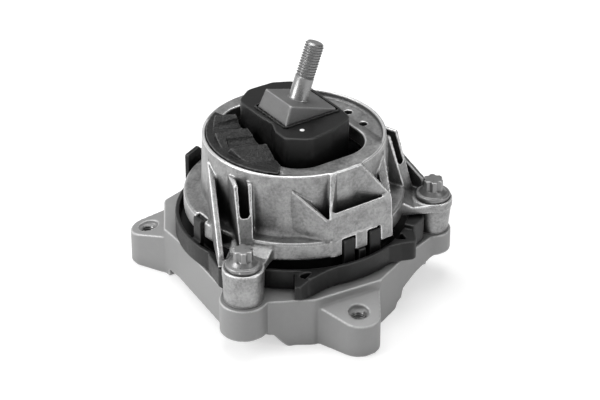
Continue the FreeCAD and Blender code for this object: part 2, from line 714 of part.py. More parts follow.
def rubber_spring():
    """Conical rubber spring bonded between the core's cone and the outer ring."""
    outer = drum_radius - drum_wall - slide_gap - spring_ring_wall

    def cone_radius(z):
        share = (z - core_cone_low_z) / (core_block_low_z - core_cone_low_z)
        return core_cone_low + (core_cone_top - core_cone_low) * share

    top_inner = sleeve_low_z
    profile = [(cone_radius(spring_low_z), spring_low_z), (cone_radius(top_inner), top_inner),
               (cone_radius(top_inner) + 6.0, top_inner), (outer - 8.0, spring_outer_top_z + 1.5),
               (outer, spring_outer_top_z), (outer, spring_outer_low_z),
               (outer - 4.0, spring_outer_low_z), (outer - 14.0, spring_low_z + spring_arch),
               (cone_radius(spring_low_z) + 6.0, spring_low_z + spring_arch * 0.6),
               (cone_radius(spring_low_z) + 3.0, spring_low_z)]
    return revolved(profile)


def spring_ring():
    """Flanged steel ring that carries the spring inside the drum."""
    outer = drum_radius - drum_wall - slide_gap
    inner = outer - spring_ring_wall
    top = flange_low_z - seat_gap
    profile = [(inner, top - spring_ring_flange), (stack_radius, top - spring_ring_flange), (stack_radius, top),
               (outer, top), (outer, spring_ring_top_z), (inner, spring_ring_top_z)]
    return revolved(profile)


def stack_heights():
    cup = deck_z - recess_depth
    bead = cup + cup_sheet
    lower = bead + diaphragm_bead
    upper = lower + lower_plate_height
    return cup, bead, lower, upper


def bottom_cup():
    """Deep-drawn cup that guards the diaphragm, flanged onto the bracket's recess."""
    cup, bead, lower, upper = stack_heights()
    inner = cup_radius - cup_sheet
    profile = [(0, cup_floor_z), (cup_radius - 8, cup_floor_z), (cup_radius, cup_floor_z + 10), (cup_radius, cup),
               (stack_radius, cup), (stack_radius, bead), (inner, bead), (inner, cup_floor_z + 10.5),
               (cup_radius - 8.6, cup_floor_z + cup_sheet), (0, cup_floor_z + cup_sheet)]
    shell = revolved(profile)
    return shell.cut(cylinder(3.0, cup_floor_z - 1, cup_floor_z + cup_sheet + 1))


def rolling_diaphragm():
    """Thin rolling diaphragm with a clamped bead."""
    cup, bead, lower, upper = stack_heights()
    sheet = diaphragm_sheet
    roll = cup_radius - cup_sheet - 1.0
    crown = lower - diaphragm_lift
    fold = lower - diaphragm_dip
    side = fold + diaphragm_lift
    half = sheet / 2
    profile = [(0, crown), (diaphragm_crown_radius, crown), (diaphragm_fold_radius, fold), (roll - diaphragm_lift, fold),
               (roll, side), (roll, bead), (stack_radius, bead), (stack_radius, lower), (roll - sheet, lower),
               (roll - sheet, side + half), (roll - diaphragm_lift - half, fold + sheet),
               (diaphragm_fold_radius + half, fold + sheet), (diaphragm_crown_radius + half, crown + sheet),
               (0, crown + sheet)]
    return revolved(profile)


def lower_channel_plate():
    """Lower half of the fluid channel, with the membrane seat and its slots."""
    cup, bead, lower, upper = stack_heights()
    plate = cylinder(stack_radius, lower, upper)
    plate = plate.cut(tube(channel_radius + channel_width / 2, channel_radius - channel_width / 2,
                           upper - channel_depth, upper + 1))
    plate = plate.cut(cylinder(membrane_radius + slide_gap, upper - membrane_height / 2, upper + 1))
    for index in range(8):
        centre = plan(polar(membrane_radius * 0.6, index * 45.0))
        plate = plate.cut(cylinder(4.0, lower - 1, upper + 1, centre))
    port = plan(polar(channel_radius, 200.0))
    return plate.cut(cylinder(channel_width / 2 - 0.5, lower - 1, upper, port))


def upper_channel_plate():
    """Upper half of the fluid channel, slotted over the membrane."""
    cup, bead, lower, upper = stack_heights()
    top = flange_low_z - seat_gap - spring_ring_flange
    plate = cylinder(stack_radius, upper, top)
    plate = plate.cut(cylinder(membrane_radius + slide_gap, upper - 1, upper + membrane_height / 2 + slide_gap))
    for index in range(8):
        centre = plan(polar(membrane_radius * 0.6, index * 45.0))
        plate = plate.cut(cylinder(4.0, upper - 1, top + 1, centre))
    port = plan(polar(channel_radius, 160.0))
    return plate.cut(cylinder(channel_width / 2 - 0.5, upper - 1, top + 1, port))


def decoupler_membrane():
    cup, bead, lower, upper = stack_heights()
    low = upper - membrane_height / 2
    disc = cylinder(membrane_radius, low, low + membrane_height)
    return disc.fuse(tube(membrane_radius, membrane_radius - 3, low, low + membrane_height)).removeSplitter()


def buffer_ridge(outer, inner):
    """Ridge along a crest line: a steep far side and a long near slope."""
    along = (vec(inner[0], inner[1]) - vec(outer[0], outer[1])).normalize()
    across = vec(-along.y, along.x)
    start = vec(outer[0], outer[1], rim_z + seat_gap)
    crest = vec(0, 0, buffer_skirt + buffer_ridge_height - seat_gap)
    points = [start + across * buffer_far_slope, start + crest, start + crest - across * buffer_crest,
              start - across * buffer_near_slope]
    face = Part.Face(Part.makePolygon(points + [points[0]]))
    return face.extrude(vec(inner[0] - outer[0], inner[1] - outer[1]))


def stop_buffer():
    """Ribbed rubber buffer in the left recess of the top plate."""
    floor_z = rim_z - dish_depth + seat_gap
    radius = dish_radius - seat_gap
    top_z = rim_z + buffer_skirt
    keep = prism(BUFFER_OUTLINE, floor_z, rim_z + 20)
    recess = Part.makeBox(MODEL_SPAN, MODEL_SPAN, MODEL_SPAN,
                          vec(-MODEL_SPAN - dish_floor_x, -MODEL_SPAN / 2, floor_z))
    skirt = cylinder(radius, floor_z, top_z).common(keep).common(recess)
    plate = cylinder(radius, rim_z + seat_gap, top_z).common(keep)
    pieces = [skirt, plate]
    for outer, inner in BUFFER_CRESTS:
        ridge = buffer_ridge(outer, inner).common(keep)
        pieces.append(ridge.common(cylinder(radius - buffer_rim_band, rim_z, rim_z + 20)))
    return fused(pieces)


def screw(centre):
    """Flange screw: shank, round flange, conical collar and six-lobed head."""
    seat = column_top_z
    step = seat + screw_flange_height
    shank = cylinder(screw_shank_radius, seat - screw_length, seat, centre)
    flange = cylinder(screw_flange_radius, seat, step - screw_flange_edge, centre)
    edge = cone(screw_flange_radius, screw_flange_radius - screw_flange_edge, step - screw_flange_edge, step, centre)
    collar = cone(screw_collar_radius, screw_star_radius, step, step + screw_collar_height, centre)
    corners = []
    for lobe in range(6):
        for turn, radius in ((-12.0, screw_star_radius), (12.0, screw_star_radius), (30.0, screw_star_root)):
            corner = polar(radius, lobe * 60.0 + turn)
            corners.append((centre[0] + corner.x, centre[1] + corner.y))
    star = prism(corners, step, seat + screw_head_height, 0.6)
    return fused([shank, flange, edge, collar, star])


def flange_screws():
    return Part.makeCompound([screw(centre) for centre in column_plan])


def save(name, shape):
    print(name, "volume", round(shape.Volume), "solids", len(shape.Solids), "valid", shape.isValid())
    shape.exportStep("parts/" + name + ".step")


os.makedirs("parts", exist_ok=True)
save("base_bracket", base_bracket())
save("upper_housing", upper_housing())
save("clip_ring", clip_ring())
save("core", core())
save("stud", stud())
save("stop_sleeve", stop_sleeve())
save("stop_buffer", stop_buffer())
save("rubber_spring", rubber_spring())
save("spring_ring", spring_ring())
save("upper_channel_plate", upper_channel_plate())
save("lower_channel_plate", lower_channel_plate())
save("decoupler_membrane", decoupler_membrane())
save("rolling_diaphragm", rolling_diaphragm())
save("bottom_cup", bottom_cup())
save("flange_screws", flange_screws())
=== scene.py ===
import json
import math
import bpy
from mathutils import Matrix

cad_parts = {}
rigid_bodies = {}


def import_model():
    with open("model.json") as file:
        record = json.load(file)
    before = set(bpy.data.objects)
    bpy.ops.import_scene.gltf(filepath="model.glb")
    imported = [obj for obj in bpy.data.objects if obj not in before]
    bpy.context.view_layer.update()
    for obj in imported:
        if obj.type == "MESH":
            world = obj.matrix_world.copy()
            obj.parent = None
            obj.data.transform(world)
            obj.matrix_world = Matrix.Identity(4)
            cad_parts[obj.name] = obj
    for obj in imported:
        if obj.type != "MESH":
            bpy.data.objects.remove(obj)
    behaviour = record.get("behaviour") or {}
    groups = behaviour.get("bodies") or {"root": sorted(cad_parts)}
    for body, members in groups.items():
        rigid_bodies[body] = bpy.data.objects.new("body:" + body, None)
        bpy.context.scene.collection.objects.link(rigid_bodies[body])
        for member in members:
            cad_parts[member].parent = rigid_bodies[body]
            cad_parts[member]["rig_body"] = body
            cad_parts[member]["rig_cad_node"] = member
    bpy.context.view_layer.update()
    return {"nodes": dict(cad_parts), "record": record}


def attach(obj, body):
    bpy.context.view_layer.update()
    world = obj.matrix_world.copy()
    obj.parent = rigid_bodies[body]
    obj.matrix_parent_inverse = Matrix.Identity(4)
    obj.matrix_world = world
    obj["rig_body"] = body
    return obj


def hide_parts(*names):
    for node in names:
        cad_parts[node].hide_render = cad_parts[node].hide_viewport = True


bl_info = {
    "name": "Engine Mount",
    "version": (1, 0, 0),
    "blender": (4, 5, 0),
    "location": "View3D > Sidebar > Mount",
    "description": "Finishes an engine mount round its fixed frame: castings, rubber, fasteners and stage",
    "category": "Object",
}

import bpy
from mathutils import Vector

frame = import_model()
MM = 0.001
MERGE_DISTANCE = 0.002 * MM
ROUND_SIDES = 64

# Heights of the housing in millimetres
FLANGE_LOW = 50.0
FLANGE_TOP = 62.0
BOX_LIP = 76.0
PLATE_LOW = 92.2
DISH_FLOOR = 98.0
RIM = 102.0

# Plan sizes of the housing in millimetres: its flange, the lowered dish and the dish's drain holes
FLANGE_RADIUS = 69.8
DISH_START_X = 35.0
DISH_FLOOR_X = 43.0
DISH_END_X = 50.0
DISH_FRONT_Y = -18.0
DISH_BACK_Y = 9.0
DISH_HOLES = ((45.9, 6.4), (44.9, -11.3))

# Walls beside the box: plan outline, line along which the top climbs, and height at the drum
WINGS = (
    ([(-18.3, -64.6), (-19.3, -66.2), (-34.0, -47.6), (-31.0, -42.0), (-27.5, -44.0), (-26.3, -51.6)],
     ((-20.0, -64.6), (-28.5, -49.5)), 89.5),
    ([(24.5, -64.4), (27.8, -65.6), (29.2, -63.4), (36.0, -46.0), (33.0, -42.0), (28.6, -45.0)],
     ((28.4, -62.6), (32.0, -47.5)), 95.0))

# What is cut away inside the left wing and along the box's right rib: plan outline and lowest height
SLIMMING = (
    ([(-18.7, -64.2), (-26.4, -52.2), (-20.6, -54.8)], 58.0),
    ([(6.9, -57.7), (9.3, -57.6), (24.8, -64.8), (21.0, -64.8)], 64.0))

# Groove along the outer edge of the right rib's top, without which the skin shows a zigzag there
RIB_EDGE = ((11.0, -56.8, 103.0), (28.3, -65.0, 79.5))
RIB_EDGE_RADIUS = 0.8

# Rounding of the box's left corner: plan of what it may cut, centre at the lip, radius, directions of
# its facets in degrees, and slope of the box's front
CORNER_PLAN = [(-29.0, -60.5), (-29.0, -75.0), (-10.0, -75.0), (-10.0, -60.5)]
CORNER_CENTRE = (-14.7, -56.3)
CORNER_RADIUS = 10.0
CORNER_FACETS = (226.9, 244.2, 261.4)
CORNER_SLOPE = 0.073

# What is cut off the web beside the front left column, outside the flange and the column
WEB_CUT = [(-50.6, -50.1), (-57.0, -54.1), (-61.5, -57.5), (-70.0, -70.0), (-44.0, -66.0), (-42.0, -51.0)]
FRONT_COLUMN = (-73.2, -52.8)
COLUMN_RADIUS = 12.9

# What is cut off the clip ring's front ear outside the ring's own radius, and what fills its flank
EAR_CUT = [(-40.0, -58.8), (-49.0, -72.0), (-44.5, -77.0), (-50.0, -82.0), (-66.0, -64.0), (-50.0, -46.0)]
EAR_FLANK = [(-40.0, -72.0), (-40.0, -75.0), (-36.7, -74.8), (-32.1, -73.9), (-25.7, -73.0), (-18.0, -73.3),
             (-18.0, -71.5), (-28.0, -70.2)]
RING_RADIUS = 75.5
RING_LOW = 33.0
RING_TOP = 47.0

# Axes of the two valleys between the buffer's ridges, their round bottom's radius and the torn relief
VALLEYS = (((-45.7, 4.7, 110.2), (-14.9, -5.7, 110.2)), ((-44.8, 26.5, 110.2), (-15.2, 17.8, 110.2)))
VALLEY_RADIUS = 7.0
LUMP_SIZE = 3.5 * MM
LUMP_HEIGHT = 0.5 * MM

# Wedge's foot on the stop block, and the lip of flash round it: its two margins, rags and how deep it sits
BLOCK_TOP = 118.0
WEDGE_PLAN = ((-17.8, -17.3), (20.2, 14.3))
FLASH_OUTER = 2.1
FLASH_INNER = 0.8
FLASH_SEAT = 0.4
RAG_SIZE = 2.0 * MM
RAG_HEIGHT = 0.9 * MM

# Paint dot on the stop block: place, sides, height of its side, width and rise of its rounded edge
DOT_PLACE = Vector((-11.7, -25.9, BLOCK_TOP)) * MM
DOT_SIDES = 28
DOT_HEIGHT = 0.12 * MM
DOT_EDGE = 0.35 * MM
DOT_CROWN = 0.06 * MM

# The stud leans towards +X from its foot in the core
STUD_LEAN = math.radians(20.3)
STUD_FOOT = Vector((1.8, -1.5, 124.5)) * MM
SHANK_DEPTH = 9.0 * MM
# Collar at the shank's foot, as (beyond the radius, height) in millimetres
COLLAR = ((0.0, -1.2), (0.8, -0.8), (0.8, 0.1), (0.2, 0.6), (0.0, 1.2))
# Half the length over which the thread runs out, height of the chamfer at its end, steps in a turn and
# angle from which an edge stays sharp
THREAD_RUN_OUT = 1.2 * MM
END_CHAMFER = 1.3 * MM
THREAD_STEPS = 48
SHARP_ANGLE = math.radians(38.0)

# Threads of the lugs: rise in one turn, depth, reach into the lug's wall, thickness, turns, steps in a
# turn and height of their start
LUG_PITCH = 1.5 * MM
LUG_THREAD_DEPTH = 0.75 * MM
LUG_THREAD_SEAT = 0.15 * MM
LUG_THREAD_WALL = 0.25 * MM
LUG_THREAD_TURNS = 9
LUG_THREAD_STEPS = 32
LUG_THREAD_START = 8.0 * MM

# Finishes: light blotches against dark ones, how far the occlusion that paints shade into hollows
# reaches, and how much of the base colour is left in that painted shade
LIGHT_SHARE = 0.6
PAINTED_SHADE_REACH = 14.0 * MM
HOLLOW_SHADE = 0.22

# Camera: place, turn, lens and sensor in millimetres, and its near and far limits in metres
CAMERA_PLACE = Vector((-713.5, -1044.7, 811.8)) * MM
CAMERA_TURN = (math.radians(59.0), 0.0, math.radians(-34.5))
CAMERA_LENS = 139.8
CAMERA_SENSOR = 36.0
CAMERA_NEAR = 0.01
CAMERA_FAR = 50.0

# Lamps: name, place, point they are aimed at, width and height in metres, and power in watts
LAMPS = (
    ("Left Softbox", (-1.11, 0.33, 0.6), (0.0, 0.0, 0.07), 0.7, 0.6, 9.0),
    ("Top Softbox", (0.2, 0.29, 1.2), (0.0, 0.0, 0.08), 0.7, 0.7, 7.5),
    ("Right Strip", (0.54, -0.98, 0.5), (0.0, 0.0, 0.07), 0.15, 0.8, 3.0))

# Sky: direction of its light side, and its greys by the share of the way from the dark to the light side
LIGHT_SIDE = (-0.62, 0.46, 0.64)
SKY_STOPS = ((0.3, 0.10), (0.95, 0.60))

# Floor: its side in metres, and the glow that makes it white for the camera and in reflections
FLOOR_SIZE = 8.0
FLOOR_GLOW = 0.55


def grey(value):
    return (value, value, value, 1.0)


def length_value(name, description, millimetres):
    return bpy.props.FloatProperty(
        name=name, description=description, default=millimetres * MM, unit="LENGTH")


def colour_value(name, description, value):
    return bpy.props.FloatVectorProperty(
        name=name, description=description, subtype="COLOR", size=4, min=0.0, max=1.0, default=grey(value))


class MountSizes(bpy.types.PropertyGroup):
    casting_voxel: length_value("Casting skin", "Voxel size of the cast skins", 0.7)
    rubber_voxel: length_value("Rubber skin", "Voxel size of the core's and the moulded pieces' skins", 0.6)
    screw_voxel: length_value("Screw skin", "Voxel size of the screw skins", 0.42)
    buffer_voxel: length_value("Buffer skin", "Voxel size of the worn buffer's skin", 0.42)
    flash_voxel: length_value("Flash skin", "Voxel size of the rubber flash's skin", 0.25)
    stud_radius: length_value("Stud radius", "Radius of the stud's plain shank", 6.0)
    stud_length: length_value("Stud length", "Length of the stud above the core", 37.8)
    thread_length: length_value("Thread length", "Threaded length at the stud's end", 22.2)
    thread_pitch: length_value("Thread pitch", "Rise of the stud's thread in one turn", 1.75)
    thread_depth: length_value("Thread depth", "Depth of the stud's thread", 0.95)
    lug_thread_radius: length_value("Lug thread radius", "Radius of the tapped lug holes", 4.25)
    dot_radius: length_value("Dot radius", "Radius of the paint dot on the stop block", 1.5)
    flash_height: length_value("Flash height", "Height of the rubber flash round the wedge", 1.2)
    dish_hole_radius: length_value("Dish hole radius", "Radius of the drain holes in the dish", 2.6)


class MountColours(bpy.types.PropertyGroup):
    housing: colour_value("Housing", "Die-cast aluminium of the housing", 0.34)
    bracket: colour_value("Bracket", "Blasted aluminium of the bracket", 0.31)
    core: colour_value("Core", "Cast aluminium of the core", 0.175)
    zinc: colour_value("Zinc", "Bright zinc of the stud", 0.33)
    screw: colour_value("Screws", "Grey zinc flake of the screws", 0.27)
    plastic: colour_value("Plastic", "Black moulded plastic of the clip ring", 0.006)
    sleeve: colour_value("Sleeve", "Black rubber of the stop block", 0.0035)
    buffer: colour_value("Buffer", "Worn rubber of the stop buffer", 0.0055)
    floor: colour_value("Floor", "Pale studio floor", 0.60)


def sizes():
    return bpy.context.scene.mount_sizes


def colours():
    return bpy.context.scene.mount_colours


# Modelling helpers


def deselect():
    if bpy.context.object is not None and bpy.context.object.mode != "OBJECT":
        bpy.ops.object.mode_set(mode="OBJECT")
    bpy.ops.object.select_all(action="DESELECT")


def make_active(piece):
    deselect()
    piece.select_set(True)
    bpy.context.view_layer.objects.active = piece


def settle(piece, name):
    """Applies the piece's place to its mesh and gives it its name."""
    make_active(piece)
    piece.name = name
    piece.data.name = name
    bpy.ops.object.transform_apply(location=True, rotation=True, scale=True)
    return piece


def apply_modifier(piece, kind, **values):
    make_active(piece)
    modifier = piece.modifiers.new(kind.lower(), kind)
    for key, value in values.items():
        setattr(modifier, key, value)
    bpy.ops.object.modifier_apply(modifier=modifier.name)


def merge_doubles():
    """Merges the vertices that lie on each other, in edit mode."""
    bpy.ops.mesh.select_all(action="SELECT")
    bpy.ops.mesh.remove_doubles(threshold=MERGE_DISTANCE)


def copy_of(node, name):
    """A free copy of a frame node's mesh, its doubles merged."""
    deselect()
    source = frame["nodes"][node]
    source.select_set(True)
    bpy.context.view_layer.objects.active = source
    bpy.ops.object.duplicate()
    piece = bpy.context.view_layer.objects.active
    piece.parent = None
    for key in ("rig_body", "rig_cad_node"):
        del piece[key]
    piece.name = name
    piece.data.name = name
    bpy.ops.object.mode_set(mode="EDIT")
    merge_doubles()
    bpy.ops.object.mode_set(mode="OBJECT")
    return piece


def skin(piece, voxel, smoothing=3, keep=1.0):
    """Rebuilds the piece as one even skin with rounded corners, as a cast or moulded surface is."""
    apply_modifier(piece, "REMESH", mode="VOXEL", voxel_size=voxel, adaptivity=0.0)
    apply_modifier(piece, "SMOOTH", factor=0.5, iterations=smoothing)
    if keep < 1.0:
        apply_modifier(piece, "DECIMATE", ratio=keep)
    make_active(piece)
    bpy.ops.object.shade_smooth()
    return piece


def torn(piece, name, size, detail, height, middle):
    """Moves the skin in and out by a cloud pattern, as torn or worn rubber is."""
    clouds = bpy.data.textures.new(name, "CLOUDS")
    clouds.noise_scale = size
    clouds.noise_depth = detail
    apply_modifier(piece, "DISPLACE", texture=clouds, texture_coords="LOCAL", strength=height,
                   mid_level=middle)


def drawn_line(name, points):
    """Chain of edges through the points, drawn one after the other."""
    deselect()
    bpy.ops.mesh.primitive_circle_add(vertices=3, radius=MM, location=(0.0, 0.0, 0.0))
    piece = bpy.context.active_object
    piece.name = name
    piece.data.name = name
    bpy.ops.object.mode_set(mode="EDIT")
    bpy.ops.mesh.select_mode(type="VERT")
    bpy.ops.mesh.merge(type="CENTER")
    bpy.ops.transform.translate(value=points[0])
    for start, end in zip(points, points[1:]):
        step = Vector(end) - Vector(start)
        bpy.ops.mesh.extrude_region_move(TRANSFORM_OT_translate={"value": step})
    bpy.ops.object.mode_set(mode="OBJECT")
    return piece


def close_up(piece):
    """Merges doubles, fills open ends and turns the faces outwards."""
    make_active(piece)
    bpy.ops.object.mode_set(mode="EDIT")
    merge_doubles()
    bpy.ops.mesh.fill_holes(sides=0)
    bpy.ops.mesh.select_all(action="SELECT")
    bpy.ops.mesh.normals_make_consistent(inside=False)
    bpy.ops.object.mode_set(mode="OBJECT")
    return piece


def raised_block(name, outline, low, high):
    """Block over a plan outline, from one height to another, all in millimetres."""
    piece = drawn_line(name, [(x * MM, y * MM, low * MM) for x, y in outline])
    bpy.ops.object.mode_set(mode="EDIT")
    bpy.ops.mesh.select_all(action="SELECT")
    bpy.ops.mesh.edge_face_add()
    bpy.ops.mesh.extrude_region_move(TRANSFORM_OT_translate={"value": (0.0, 0.0, (high - low) * MM)})
    bpy.ops.object.mode_set(mode="OBJECT")
    return close_up(piece)


def round_block(name, radius, place, low, high):
    """Upright cylinder, its radius, plan place and heights in millimetres."""
    deselect()
    bpy.ops.mesh.primitive_cylinder_add(
        vertices=ROUND_SIDES, radius=radius * MM, depth=(high - low) * MM,
        location=(place[0] * MM, place[1] * MM, (high + low) / 2 * MM))
    return settle(bpy.context.active_object, name)


def round_bar(name, start, end, radius):
    """Cylinder between two points, in millimetres."""
    start, end = Vector(start) * MM, Vector(end) * MM
    deselect()
    bpy.ops.mesh.primitive_cylinder_add(
        vertices=ROUND_SIDES, radius=radius * MM, depth=(end - start).length, location=(start + end) / 2,
        rotation=(end - start).to_track_quat("Z", "Y").to_euler())
    return settle(bpy.context.active_object, name)


def trim(piece, point, normal):
    """Cuts off what lies beyond a plane and closes the cut."""
    make_active(piece)
    bpy.ops.object.mode_set(mode="EDIT")
    bpy.ops.mesh.select_all(action="SELECT")
    bpy.ops.mesh.bisect(plane_co=Vector(point) * MM, plane_no=normal, use_fill=True, clear_outer=True)
    bpy.ops.object.mode_set(mode="OBJECT")
    return close_up(piece)


def combine(piece, other, operation):
    """Joins, cuts or crosses the piece with another one, which is used up."""
    apply_modifier(piece, "BOOLEAN", object=other, operation=operation, solver="EXACT")
    bpy.data.objects.remove(other)
    return piece


def put_together(piece, others):
    """Joins closed blocks to the piece as they are, for the skin to make one of them."""
    make_active(piece)
    for other in others:
        other.select_set(True)
    bpy.ops.object.join()
    return piece


def turned(name, profile):
    """Turned solid about Z from (radius, height) points in metres that start and end on the axis."""
    piece = drawn_line(name, [(radius, 0.0, height) for radius, height in profile])
    apply_modifier(piece, "SCREW", axis="Z", steps=ROUND_SIDES, render_steps=ROUND_SIDES,
                   use_merge_vertices=True, merge_threshold=MERGE_DISTANCE)
    return close_up(piece)


def screwed(name, profile, pitch, turns, steps):
    """Helical surface about Z from a profile of (radius, height) points that is one pitch high."""
    piece = drawn_line(name, [(radius, 0.0, height) for radius, height in profile])
    apply_modifier(piece, "SCREW", axis="Z", angle=math.tau, screw_offset=pitch, iterations=turns,
                   steps=steps, render_steps=steps)
    return piece


def finish_piece(piece, material, replaced=()):
    piece.data.materials.clear()
    piece.data.materials.append(material)
    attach(piece, "root")
    if replaced:
        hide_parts(*replaced)
    return piece


# Node groups shared by the materials, and the materials


def new_group(name, inputs, outputs):
    """Empty node group with number inputs and outputs, and its two end nodes."""
    group = bpy.data.node_groups.new(name, "ShaderNodeTree")
    for label, value in inputs:
        socket = group.interface.new_socket(label, in_out="INPUT", socket_type="NodeSocketFloat")
        socket.default_value = value
    for label in outputs:
        group.interface.new_socket(label, in_out="OUTPUT", socket_type="NodeSocketFloat")
    nodes = group.nodes
    return group, nodes.new("NodeGroupInput"), nodes.new("NodeGroupOutput")


def shared_group(name, maker):
    return bpy.data.node_groups.get(name) or maker()


def connect(tree, source, source_socket, target, target_socket):
    tree.links.new(source.outputs[source_socket], target.inputs[target_socket])


def set_values(node, **values):
    """Sets a node's inputs, each named as its socket with underscores for spaces."""
    for name, value in values.items():
        node.inputs[name.replace("_", " ")].default_value = value


def calculated(tree, operation, first, second):
    """Math of two numbers, each a plain one or a pair of node and socket; gives such a pair too."""
    node = tree.nodes.new("ShaderNodeMath")
    node.operation = operation
    for index, side in enumerate((first, second)):
        if isinstance(side, tuple):
            connect(tree, *side, node, index)
        else:
            node.inputs[index].default_value = side
    return node, "Value"


def mixed(tree, factor, first, second):
    """Mix of two colours, each a plain one or a socket, by a pair of node and socket; gives a socket."""
    mix = tree.nodes.new("ShaderNodeMix")
    mix.data_type = "RGBA"
    connect(tree, *factor, mix, "Factor")
    for name, value in (("A", first), ("B", second)):
        target = [socket for socket in mix.inputs if socket.name == name and socket.type == "RGBA"][0]
        if isinstance(value, bpy.types.NodeSocket):
            tree.links.new(value, target)
        else:
            target.default_value = value
    return [socket for socket in mix.outputs if socket.type == "RGBA"][0]


def noise_at(group, place, scale, **values):
    """Noise on the object's own coordinates, its scale a pair of node and socket."""
    noise = group.nodes.new("ShaderNodeTexNoise")
    set_values(noise, **values)
    connect(group, place, "Object", noise, "Vector")
    connect(group, *scale, noise, "Scale")
    return noise, "Fac"


def edge_wear_and_painted_light_group():
    """Masks of worn edges with a painted highlight on them, broken up by a fine noise, and of hollows that
    get painted shade.
    """
    group, entry, leave = new_group(
        "Edge Wear And Painted Light", [("Start", 0.52), ("End", 0.6), ("Break Up", 0.3), ("Scale", 900.0)], ["Mask", "Painted Shade"])
    geometry = group.nodes.new("ShaderNodeNewGeometry")
    place = group.nodes.new("ShaderNodeTexCoord")
    noise = noise_at(group, place, (entry, "Scale"), Detail=4.0)
    # Pointiness finds the convex edges, lightened partly as real worn edges and partly as a painted highlight
    edge = group.nodes.new("ShaderNodeMapRange")
    edge.interpolation_type = "SMOOTHSTEP"
    connect(group, geometry, "Pointiness", edge, "Value")
    connect(group, entry, "Start", edge, "From Min")
    connect(group, entry, "End", edge, "From Max")
    fade = calculated(group, "MULTIPLY", noise, (entry, "Break Up"))
    kept = calculated(group, "SUBTRACT", 1.0, fade)
    mask = calculated(group, "MULTIPLY", (edge, "Result"), kept)
    connect(group, *mask, leave, "Mask")
    # Painted shade: ambient occlusion finds the hollows and pockets whose colour is darkened
    shelter = group.nodes.new("ShaderNodeAmbientOcclusion")
    shelter.samples = 6
    set_values(shelter, Distance=PAINTED_SHADE_REACH)
    painted_shade = group.nodes.new("ShaderNodeMapRange")
    set_values(painted_shade, From_Min=0.78, From_Max=0.32)
    connect(group, shelter, "AO", painted_shade, "Value")
    connect(group, painted_shade, "Result", leave, "Painted Shade")
    return group


def cast_grain_group():
    """Two scales of blotches and a fine grain height, as on die-cast and blasted metal or worn rubber."""
    group, entry, leave = new_group(
        "Cast Grain", [("Blotch Scale", 60.0), ("Grain Scale", 700.0)], ["Blotch", "Grain"])
    place = group.nodes.new("ShaderNodeTexCoord")
    large = noise_at(group, place, (entry, "Blotch Scale"), Detail=5.0, Roughness=0.62, Distortion=0.6)
    grain = noise_at(group, place, (entry, "Grain Scale"), Detail=3.0)
    finer = calculated(group, "MULTIPLY", (entry, "Blotch Scale"), 5.0)
    mottle = noise_at(group, place, finer, Detail=3.0, Roughness=0.7)
    both = calculated(group, "ADD", large, mottle)
    spread = group.nodes.new("ShaderNodeMapRange")
    set_values(spread, From_Min=0.7, From_Max=1.3)
    connect(group, *both, spread, "Value")
    connect(group, spread, "Result", leave, "Blotch")
    connect(group, *grain, leave, "Grain")
    return group


def shaded(colour, factor):
    return (colour[0] * factor, colour[1] * factor, colour[2] * factor, 1.0)


def surface(name, base, metallic, roughness, blotch_scale, blotch_depth, grain_scale, grain_height,
            wear_and_highlight=0.0, wear_and_highlight_grey=0.9, wear_and_highlight_start=0.52, wear_and_highlight_end=0.6, painted_shade=0.0, roughness_spread=0.1,
            specular=0.5):
    """Principled material with blotches, grain, worn edges with a painted highlight, and painted shade in
    hollows.
    """
    material = bpy.data.materials.new(name)
    material.use_nodes = True
    tree = material.node_tree
    shader = tree.nodes["Principled BSDF"]
    set_values(shader, Metallic=metallic, Specular_IOR_Level=specular)
    grain = tree.nodes.new("ShaderNodeGroup")
    grain.node_tree = shared_group("Cast Grain", cast_grain_group)
    set_values(grain, Blotch_Scale=blotch_scale, Grain_Scale=grain_scale)
    dark = shaded(base, 1.0 - blotch_depth)
    light = shaded(base, 1.0 + blotch_depth * LIGHT_SHARE)
    tint = mixed(tree, (grain, "Blotch"), dark, light)
    if painted_shade > 0.0 or wear_and_highlight > 0.0:
        edges = tree.nodes.new("ShaderNodeGroup")
        edges.node_tree = shared_group("Edge Wear And Painted Light", edge_wear_and_painted_light_group)
        set_values(edges, Start=wear_and_highlight_start, End=wear_and_highlight_end)
    # Painted shade: darkens the base colour in hollows and pockets
    if painted_shade > 0.0:
        depth = calculated(tree, "MULTIPLY", (edges, "Painted Shade"), painted_shade)
        tint = mixed(tree, depth, tint, shaded(base, HOLLOW_SHADE))
    # Edges lighten towards a pale grey, partly as real worn edges and partly as a painted highlight
    if wear_and_highlight > 0.0:
        strength = calculated(tree, "MULTIPLY", (edges, "Mask"), wear_and_highlight)
        tint = mixed(tree, strength, tint, grey(wear_and_highlight_grey))
    tree.links.new(tint, shader.inputs["Base Color"])
    rough = tree.nodes.new("ShaderNodeMapRange")
    set_values(rough, To_Min=roughness - roughness_spread, To_Max=roughness + roughness_spread)
    connect(tree, grain, "Blotch", rough, "Value")
    connect(tree, rough, "Result", shader, "Roughness")
    bump = tree.nodes.new("ShaderNodeBump")
    set_values(bump, Strength=1.0, Distance=grain_height)
    connect(tree, grain, "Grain", bump, "Height")
    connect(tree, bump, "Normal", shader, "Normal")
    return material


def plain_inner(name, value, metallic, roughness):
    """Finish of a piece that only shows when the mount is taken apart."""
    return surface(name, grey(value), metallic, roughness, blotch_scale=80.0, blotch_depth=0.15,
                   grain_scale=600.0, grain_height=0.03 * MM)


# One operator for each piece or group of like pieces


